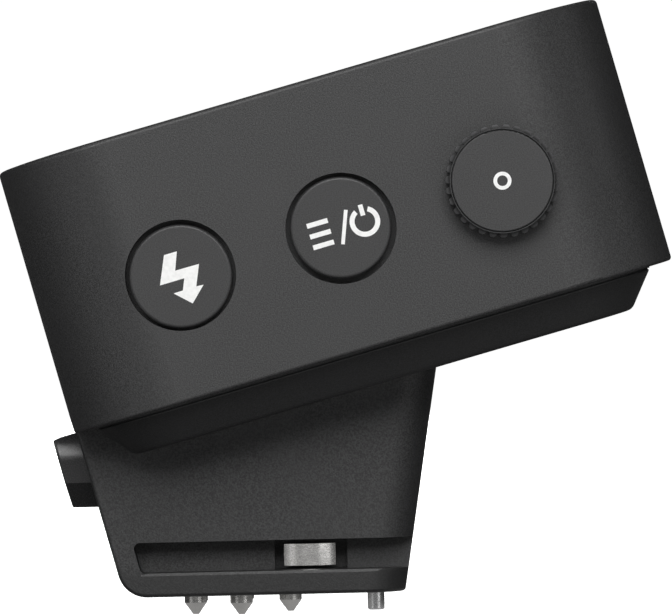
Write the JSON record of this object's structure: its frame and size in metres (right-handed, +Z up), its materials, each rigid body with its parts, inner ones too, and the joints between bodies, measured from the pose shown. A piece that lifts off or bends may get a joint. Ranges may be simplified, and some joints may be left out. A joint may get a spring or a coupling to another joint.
{
  "type": "wireless flash trigger",
  "caption": "Compact radio flash trigger with a tilted touch-screen head, side keys and dial, on a neck that ends in a camera hot-shoe foot with a locking pin.",
  "frame": {"origin": "axis of the middle (sync) contact in the plane of the foot's underside", "axes": "+X towards the front of the camera, along the shoe; +Z up; the keys and the dial are on the -Y side"},
  "size_m": [0.0554, 0.0466, 0.0507],
  "materials": {
    "housing_plastic": "fine-grained matte black",
    "cover_plastic": "fine-grained matte black",
    "neck_plastic": "fine-grained matte black, glass-filled",
    "screen_glass": "polished, black printed behind",
    "display_layers": "smooth",
    "key_plastic": "satin black with white printed symbols",
    "dial_plastic": "matte black",
    "release_plastic": "satin black",
    "switch_plastic": "moulded",
    "plunger_plastic": "moulded",
    "shaft_steel": "turned",
    "circuit_board": "solder mask",
    "chip_resin": "moulded",
    "pressed_steel": "plated",
    "battery_film": "laminated pouch film",
    "foam_pad": "foam",
    "inner_plastic": "moulded",
    "port_steel": "nickel plated",
    "jack_plastic": "moulded",
    "flex_film": "amber film",
    "leaf_metal": "nickel-plated spring leaf",
    "contact_metal": "polished nickel plate",
    "lock_steel": "polished",
    "spring_wire": "drawn wire",
    "screw_steel": "black oxide",
    "legend_ink": "white printed symbols on the keys and the dial; no node carries it, only the visual model does"
  },
  "bodies": {
    "root": {"antenna": "pressed_steel", "battery": "battery_film", "battery_pad": "foam_pad", "battery_plate": "inner_plastic", "board_chips": "chip_resin", "bottom_cover": "cover_plastic", "buzzer": "chip_resin", "contact_board": "circuit_board", "contact_board_screw": "screw_steel", "contact_spring_0": "spring_wire", "contact_spring_1": "spring_wire", "contact_spring_2": "spring_wire", "contact_spring_3": "spring_wire", "contact_spring_4": "spring_wire", "control_board": "circuit_board", "control_board_screws": "screw_steel", "control_flex": "flex_film", "display_flex": "flex_film", "display_frame": "pressed_steel", "display_panel": "display_layers", "encoder_body": "switch_plastic", "flash_switch": "switch_plastic", "foot_flex": "flex_film", "housing_screws": "screw_steel", "lock_guide": "pressed_steel", "lock_guide_screws": "screw_steel", "lock_pin_spring": "spring_wire", "main_board": "circuit_board", "main_board_screws": "screw_steel", "menu_switch": "switch_plastic", "neck_housing": "neck_plastic", "neck_screws": "screw_steel", "release_spring": "spring_wire", "shield_can": "pressed_steel", "sync_jack": "jack_plastic", "touch_glass": "screen_glass", "upper_housing": "housing_plastic", "usb_c_shell": "port_steel", "usb_c_tongue": "inner_plastic"},
    "flash_button": {"flash_button": "key_plastic", "flash_switch_plunger": "plunger_plastic"},
    "menu_button": {"menu_button": "key_plastic", "menu_switch_plunger": "plunger_plastic"},
    "dial_push": {"encoder_rocker": "plunger_plastic"},
    "dial": {"control_dial": "dial_plastic", "dial_cap": "dial_plastic", "encoder_shaft": "shaft_steel"},
    "release_button": {"release_button": "release_plastic", "lock_slider": "inner_plastic"},
    "lock_pin": {"lock_pin": "lock_steel", "lock_pin_collar": "shaft_steel"},
    "sync_contact": {"sync_contact_pin": "contact_metal"},
    "ground_leaf_right": {"ground_leaf_right": "leaf_metal"},
    "ground_leaf_left": {"ground_leaf_left": "leaf_metal"},
    "data_contact_1": {"data_contact_pin_1": "contact_metal"},
    "data_contact_2": {"data_contact_pin_2": "contact_metal"},
    "data_contact_3": {"data_contact_pin_3": "contact_metal"},
    "data_contact_4": {"data_contact_pin_4": "contact_metal"}
  },
  "joints": [
    {"name": "flash_press", "type": "slide", "parent": "root", "child": "flash_button", "axis": [0, 1, 0], "range_m": [0, 0.0005], "stiffness_N_per_m": 3000, "springref_m": -0.0002},
    {"name": "menu_press", "type": "slide", "parent": "root", "child": "menu_button", "axis": [0, 1, 0], "range_m": [0, 0.0005], "stiffness_N_per_m": 3000, "springref_m": -0.0002},
    {"name": "dial_press", "type": "slide", "parent": "root", "child": "dial_push", "axis": [0, 1, 0], "range_m": [0, 0.0004], "stiffness_N_per_m": 5000, "springref_m": -0.0002},
    {"name": "dial_turn", "type": "hinge", "parent": "dial_push", "child": "dial", "pos_m": [0.0181, -0.022, 0.03379], "axis": [0, -1, 0], "continuous": true},
    {"name": "release_press", "type": "slide", "parent": "root", "child": "release_button", "axis": [1, 0, 0], "range_m": [0, 0.0016], "stiffness_N_per_m": 900, "springref_m": -0.001, "deforming": ["release_spring"]},
    {"name": "lock_pin_lift", "type": "slide", "parent": "root", "child": "lock_pin", "axis": [0, 0, 1], "range_m": [0, 0.00192], "stiffness_N_per_m": 300, "springref_m": -0.001, "deforming": ["lock_pin_spring"]},
    {"name": "sync_contact_travel", "type": "slide", "parent": "root", "child": "sync_contact", "axis": [0, 0, 1], "range_m": [0, 0.0012], "stiffness_N_per_m": 600, "springref_m": -0.0005, "deforming": ["contact_spring_0"]},
    {"name": "data_contact_1_travel", "type": "slide", "parent": "root", "child": "data_contact_1", "axis": [0, 0, 1], "range_m": [0, 0.0012], "stiffness_N_per_m": 600, "springref_m": -0.0005, "deforming": ["contact_spring_1"]},
    {"name": "data_contact_2_travel", "type": "slide", "parent": "root", "child": "data_contact_2", "axis": [0, 0, 1], "range_m": [0, 0.0012], "stiffness_N_per_m": 600, "springref_m": -0.0005, "deforming": ["contact_spring_2"]},
    {"name": "data_contact_3_travel", "type": "slide", "parent": "root", "child": "data_contact_3", "axis": [0, 0, 1], "range_m": [0, 0.0012], "stiffness_N_per_m": 600, "springref_m": -0.0005, "deforming": ["contact_spring_3"]},
    {"name": "data_contact_4_travel", "type": "slide", "parent": "root", "child": "data_contact_4", "axis": [0, 0, 1], "range_m": [0, 0.0012], "stiffness_N_per_m": 600, "springref_m": -0.0005, "deforming": ["contact_spring_4"]},
    {"name": "ground_leaf_right_flex", "type": "slide", "parent": "root", "child": "ground_leaf_right", "axis": [0, 1, 0], "range_m": [0, 0.0004], "stiffness_N_per_m": 2000, "springref_m": -0.0001},
    {"name": "ground_leaf_left_flex", "type": "slide", "parent": "root", "child": "ground_leaf_left", "axis": [0, -1, 0], "range_m": [0, 0.0004], "stiffness_N_per_m": 2000, "springref_m": -0.0001}
  ],
  "couplings": [
    {"joint": "lock_pin_lift", "follows": "release_press", "ratio": 1.2}
  ]
}
